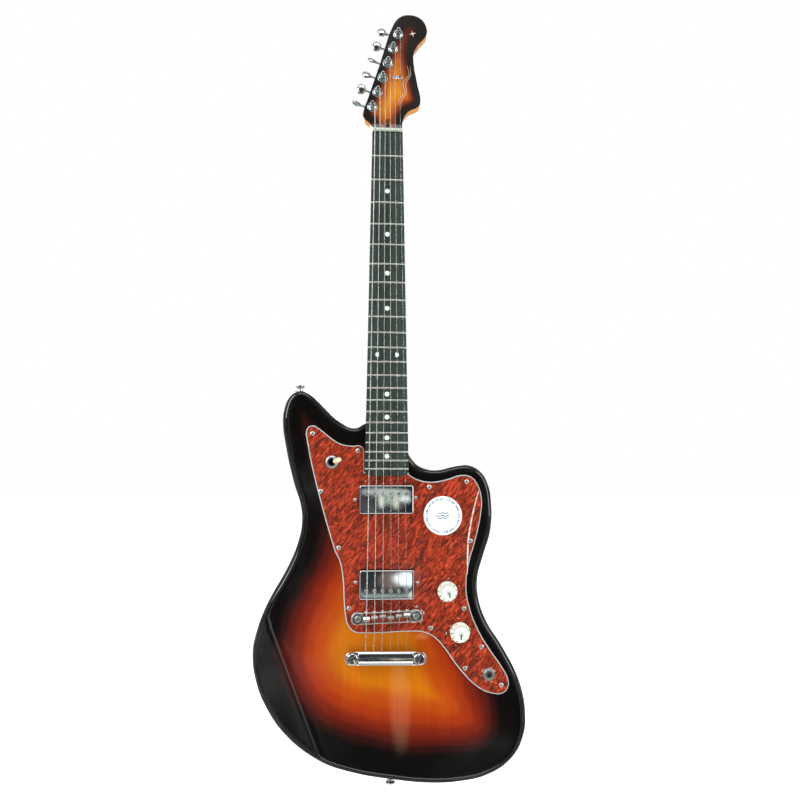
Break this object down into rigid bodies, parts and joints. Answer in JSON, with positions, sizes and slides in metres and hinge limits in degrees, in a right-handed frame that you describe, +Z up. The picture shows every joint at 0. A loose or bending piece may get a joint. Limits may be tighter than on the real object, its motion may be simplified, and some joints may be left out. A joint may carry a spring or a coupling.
{
  "type": "electric guitar",
  "caption": "Solid-body electric guitar with an offset waist, bolt-on neck, covered humbuckers, post-mounted bridge, stop tailpiece, pickguard and in-line machine heads.",
  "frame": {"origin": "on the centreline at the nut's front edge, level with the body's top face, where a wall hanger's yoke grips the neck", "axes": "+Z up the neck from body to headstock, +X to the treble side, +Y from front to back"},
  "size_m": [0.3532, 0.0721, 1.0504],
  "materials": {
    "body_lacquer": "gloss three-tone sunburst lacquer over wood",
    "maple": "amber-tinted maple, satin back, sunburst headstock face",
    "rosewood": "open-grained dark rosewood, oiled",
    "nut_plastic": "white synthetic bone",
    "nickel": "nickel-plated steel",
    "black_steel": "blackened steel",
    "chrome": "polished chrome plate",
    "tortoise_plastic": "red-brown mottled laminate with a white edge",
    "black_plastic": "black moulded bobbins",
    "white_plastic": "white moulded knobs",
    "brown_plastic": "dipped film capacitor",
    "cream_plastic": "cream moulded switch tip",
    "plain_string": "plain steel wire",
    "wound_string": "nickel-wound steel wire"
  },
  "bodies": {
    "root": {"body": "body_lacquer", "neck": "maple", "fretboard": "rosewood", "string_nut": "nut_plastic", "truss_rod": "nickel", "neck_plate": "chrome", "strap_button_horn": "chrome", "strap_button_tail": "chrome", "string_tree": "chrome", "pickguard": "tortoise_plastic", "volume_pot": "nickel", "tone_pot": "nickel", "tone_capacitor": "brown_plastic", "toggle_switch": "nickel", "output_jack": "nickel", "jack_nut": "nickel", "tailpiece_bar": "chrome", "tailpiece_stud_bass": "chrome", "tailpiece_stud_treble": "chrome", "string_1": "plain_string", "string_2": "plain_string", "string_3": "plain_string", "string_4": "wound_string", "string_5": "wound_string", "string_6": "wound_string", "tuner_housing_1": "chrome", "tuner_housing_2": "chrome", "tuner_housing_3": "chrome", "tuner_housing_4": "chrome", "tuner_housing_5": "chrome", "tuner_housing_6": "chrome"},
    "truss_nut": {"truss_rod_nut": "black_steel"},
    "neck_pickup": {"neck_pickup_cover": "chrome", "neck_pickup_coils": "black_plastic"},
    "bridge_pickup": {"bridge_pickup_cover": "chrome", "bridge_pickup_coils": "black_plastic"},
    "volume": {"volume_knob": "white_plastic"},
    "tone": {"tone_knob": "white_plastic"},
    "switch_lever": {"toggle_lever": "cream_plastic"},
    "bridge": {"bridge_frame": "nickel"},
    "bass_post": {"bridge_post_bass": "nickel"},
    "treble_post": {"bridge_post_treble": "nickel"},
    "saddle_1": {"saddle_1": "nickel"},
    "saddle_2": {"saddle_2": "nickel"},
    "saddle_3": {"saddle_3": "nickel"},
    "saddle_4": {"saddle_4": "nickel"},
    "saddle_5": {"saddle_5": "nickel"},
    "saddle_6": {"saddle_6": "nickel"},
    "post_1": {"tuner_post_1": "chrome"},
    "button_1": {"tuner_button_1": "chrome"},
    "post_2": {"tuner_post_2": "chrome"},
    "button_2": {"tuner_button_2": "chrome"},
    "post_3": {"tuner_post_3": "chrome"},
    "button_3": {"tuner_button_3": "chrome"},
    "post_4": {"tuner_post_4": "chrome"},
    "button_4": {"tuner_button_4": "chrome"},
    "post_5": {"tuner_post_5": "chrome"},
    "button_5": {"tuner_button_5": "chrome"},
    "post_6": {"tuner_post_6": "chrome"},
    "button_6": {"tuner_button_6": "chrome"}
  },
  "joints": [
    {"name": "truss_nut_turn", "type": "hinge", "parent": "root", "child": "truss_nut", "pos_m": [0, 0.0006, 0.009], "axis": [0, 0, 1], "range_deg": [-360, 360]},
    {"name": "neck_pickup_height", "type": "slide", "parent": "root", "child": "neck_pickup", "axis": [0, -1, 0], "range_m": [-0.003, 0.0012]},
    {"name": "bridge_pickup_height", "type": "slide", "parent": "root", "child": "bridge_pickup", "axis": [0, -1, 0], "range_m": [-0.003, 0.0012]},
    {"name": "volume_turn", "type": "hinge", "parent": "root", "child": "volume", "pos_m": [0.0796, -0.01, -0.6242], "axis": [0, -1, 0], "range_deg": [-150, 150]},
    {"name": "tone_turn", "type": "hinge", "parent": "root", "child": "tone", "pos_m": [0.0955, -0.01, -0.6762], "axis": [0, -1, 0], "range_deg": [-150, 150]},
    {"name": "pickup_switch", "type": "hinge", "parent": "root", "child": "switch_lever", "pos_m": [-0.0719, 0, -0.457], "axis": [0.2588, 0, -0.9659], "range_deg": [0, 48]},
    {"name": "bridge_height", "type": "slide", "parent": "root", "child": "bridge", "axis": [0, -1, 0], "range_m": [-0.004, 0.0003]},
    {"name": "bass_post_turn", "type": "hinge", "parent": "bridge", "child": "bass_post", "pos_m": [-0.0369, 0, -0.6562], "axis": [0, -1, 0], "range_deg": [-1530, 1530]},
    {"name": "treble_post_turn", "type": "hinge", "parent": "bridge", "child": "treble_post", "pos_m": [0.0374, 0, -0.6535], "axis": [0, -1, 0], "range_deg": [-1530, 1530]},
    {"name": "saddle_1_slide", "type": "slide", "parent": "bridge", "child": "saddle_1", "axis": [-0.0363, 0, 0.9993], "range_m": [-0.0039, 0.0009]},
    {"name": "saddle_2_slide", "type": "slide", "parent": "bridge", "child": "saddle_2", "axis": [-0.0363, 0, 0.9993], "range_m": [-0.003, 0.0018]},
    {"name": "saddle_3_slide", "type": "slide", "parent": "bridge", "child": "saddle_3", "axis": [-0.0363, 0, 0.9993], "range_m": [-0.0016, 0.0032]},
    {"name": "saddle_4_slide", "type": "slide", "parent": "bridge", "child": "saddle_4", "axis": [-0.0363, 0, 0.9993], "range_m": [-0.0035, 0.0013]},
    {"name": "saddle_5_slide", "type": "slide", "parent": "bridge", "child": "saddle_5", "axis": [-0.0363, 0, 0.9993], "range_m": [-0.0024, 0.0024]},
    {"name": "saddle_6_slide", "type": "slide", "parent": "bridge", "child": "saddle_6", "axis": [-0.0363, 0, 0.9993], "range_m": [-0.0012, 0.0036]},
    {"name": "button_1_turn", "type": "hinge", "parent": "root", "child": "button_1", "pos_m": [0.01751, 0.0195, 0.15785], "axis": [-0.9503, 0, 0.3113], "continuous": true},
    {"name": "post_1_turn", "type": "hinge", "parent": "root", "child": "post_1", "pos_m": [0.0153, 0, 0.1511], "axis": [0, -1, 0], "continuous": true},
    {"name": "button_2_turn", "type": "hinge", "parent": "root", "child": "button_2", "pos_m": [0.01025, 0.0195, 0.13569], "axis": [-0.9503, 0, 0.3113], "continuous": true},
    {"name": "post_2_turn", "type": "hinge", "parent": "root", "child": "post_2", "pos_m": [0.00804, 0, 0.12894], "axis": [0, -1, 0], "continuous": true},
    {"name": "button_3_turn", "type": "hinge", "parent": "root", "child": "button_3", "pos_m": [0.00299, 0.0195, 0.11353], "axis": [-0.9503, 0, 0.3113], "continuous": true},
    {"name": "post_3_turn", "type": "hinge", "parent": "root", "child": "post_3", "pos_m": [0.00078, 0, 0.10678], "axis": [0, -1, 0], "continuous": true},
    {"name": "button_4_turn", "type": "hinge", "parent": "root", "child": "button_4", "pos_m": [-0.00427, 0.0195, 0.09137], "axis": [-0.9503, 0, 0.3113], "continuous": true},
    {"name": "post_4_turn", "type": "hinge", "parent": "root", "child": "post_4", "pos_m": [-0.00648, 0, 0.08462], "axis": [0, -1, 0], "continuous": true},
    {"name": "button_5_turn", "type": "hinge", "parent": "root", "child": "button_5", "pos_m": [-0.01153, 0.0195, 0.06921], "axis": [-0.9503, 0, 0.3113], "continuous": true},
    {"name": "post_5_turn", "type": "hinge", "parent": "root", "child": "post_5", "pos_m": [-0.01374, 0, 0.06246], "axis": [0, -1, 0], "continuous": true},
    {"name": "button_6_turn", "type": "hinge", "parent": "root", "child": "button_6", "pos_m": [-0.01879, 0.0195, 0.04705], "axis": [-0.9503, 0, 0.3113], "continuous": true},
    {"name": "post_6_turn", "type": "hinge", "parent": "root", "child": "post_6", "pos_m": [-0.021, 0, 0.0403], "axis": [0, -1, 0], "continuous": true}
  ],
  "couplings": [
    {"joint": "bass_post_turn", "follows": "bridge_height", "rad_per_m": 6283.2},
    {"joint": "treble_post_turn", "follows": "bridge_height", "rad_per_m": 6283.2},
    {"joint": "post_1_turn", "follows": "button_1_turn", "ratio": -0.066667},
    {"joint": "post_2_turn", "follows": "button_2_turn", "ratio": -0.066667},
    {"joint": "post_3_turn", "follows": "button_3_turn", "ratio": -0.066667},
    {"joint": "post_4_turn", "follows": "button_4_turn", "ratio": -0.066667},
    {"joint": "post_5_turn", "follows": "button_5_turn", "ratio": -0.066667},
    {"joint": "post_6_turn", "follows": "button_6_turn", "ratio": -0.066667}
  ]
}
